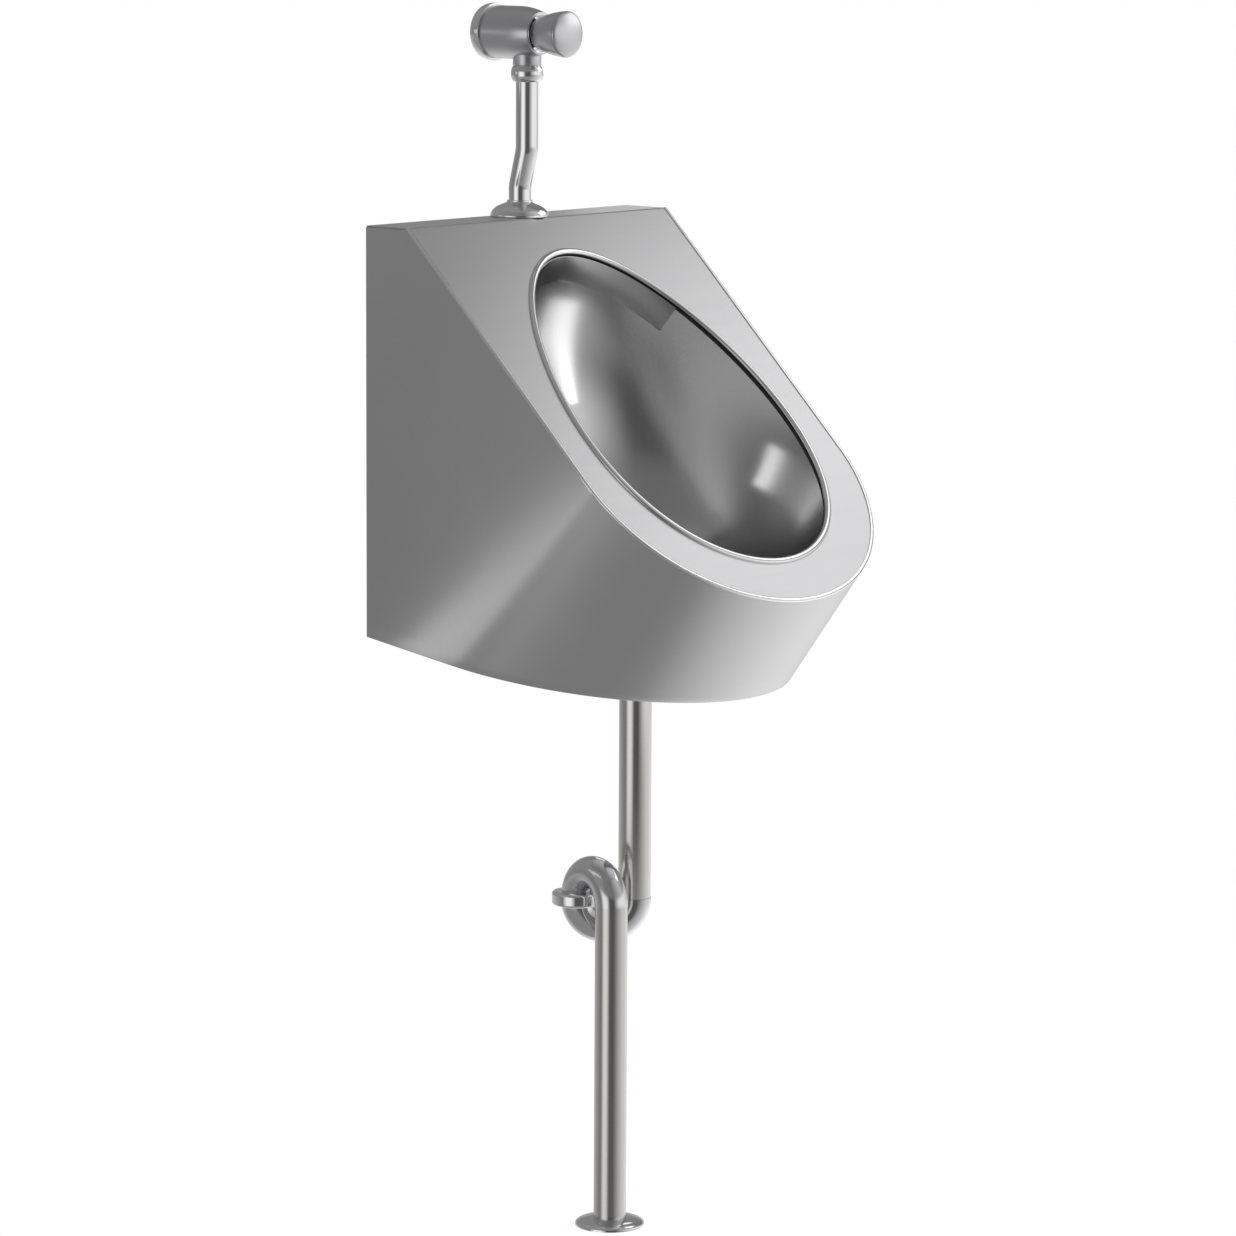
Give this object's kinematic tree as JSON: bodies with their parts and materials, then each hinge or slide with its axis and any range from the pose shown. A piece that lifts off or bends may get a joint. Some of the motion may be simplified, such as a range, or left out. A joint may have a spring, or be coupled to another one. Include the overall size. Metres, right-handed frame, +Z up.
{
  "type": "wall-hung urinal",
  "caption": "Wall-hung stainless steel urinal with a sloping face and oval bowl, a push valve with its flush tube above, and a waste trap with a floor pipe below.",
  "frame": {"origin": "middle of the wall hanger's four bolt holes, on the wall's surface", "axes": "+X along the wall, to the right of a person facing the urinal; +Y into the wall; +Z up"},
  "size_m": [0.39, 0.4278, 1.2135],
  "materials": {
    "satin_steel": "satin brushed",
    "polished_steel": "polished",
    "plain_steel": "plain mill",
    "bright_chrome": "polished",
    "plain_brass": "machined",
    "black_rubber": "matt"
  },
  "bodies": {
    "urinal": {"outer_shell": "satin_steel", "face_panel": "satin_steel", "face_hem": "polished_steel", "back_plate": "satin_steel", "bottom_pan": "satin_steel", "bowl": "satin_steel", "mouth_bead": "polished_steel", "spreader": "satin_steel", "feed_elbow": "satin_steel", "wall_hanger": "plain_steel", "wall_buffers": "black_rubber", "inlet_spud": "bright_chrome", "spud_gasket": "black_rubber", "spud_locknut": "plain_brass", "flush_tube": "bright_chrome", "coupling_washer": "black_rubber", "wall_flange": "bright_chrome", "inlet_nipple": "plain_brass", "valve_body": "bright_chrome", "valve_seat": "plain_brass", "spindle_seal": "black_rubber", "bonnet": "bright_chrome", "button_spring": "plain_steel", "waste_outlet": "polished_steel", "waste_gasket": "black_rubber", "waste_locknut": "plain_brass", "tail_washer": "black_rubber", "tailpipe": "bright_chrome", "lower_bend": "bright_chrome", "union_washer": "black_rubber", "upper_bend": "bright_chrome", "standpipe": "bright_chrome"},
    "push_button": {"push_button": "bright_chrome", "button_cap": "bright_chrome", "spindle": "plain_brass", "seal_disc": "black_rubber"},
    "strainer": {"strainer": "polished_steel", "strainer_screw": "polished_steel"},
    "top_rosette": {"top_rosette": "bright_chrome"},
    "floor_flange": {"floor_flange": "bright_chrome"},
    "union_nut": {"union_nut": "bright_chrome"},
    "coupling_nut": {"coupling_nut": "bright_chrome"},
    "tail_nut": {"tail_nut": "bright_chrome"}
  },
  "joints": [
    {"name": "button_press", "type": "slide", "parent": "urinal", "child": "push_button", "axis": [0, 1, 0], "range_m": [0, 0.006], "stiffness_N_per_m": 1500, "springref_m": -0.008, "deforming": ["button_spring"]},
    {"name": "strainer_lift", "type": "slide", "parent": "urinal", "child": "strainer", "axis": [0, 0, 1], "range_m": [0, 0.03]},
    {"name": "rosette_slide", "type": "slide", "parent": "urinal", "child": "top_rosette", "axis": [0, 0, 1], "range_m": [0, 0.008]},
    {"name": "coupling_turn", "type": "hinge", "parent": "urinal", "child": "coupling_nut", "pos_m": [0, -0.053, 0.22], "axis": [0, 0, 1], "continuous": true},
    {"name": "tail_nut_turn", "type": "hinge", "parent": "urinal", "child": "tail_nut", "pos_m": [0, -0.196, -0.32], "axis": [0, 0, 1], "continuous": true},
    {"name": "union_nut_turn", "type": "hinge", "parent": "urinal", "child": "union_nut", "pos_m": [-0.04264, -0.15893, -0.582], "axis": [0, 0, 1], "continuous": true},
    {"name": "floor_flange_slide", "type": "slide", "parent": "urinal", "child": "floor_flange", "axis": [0, 0, 1], "range_m": [0, 0.25]}
  ]
}
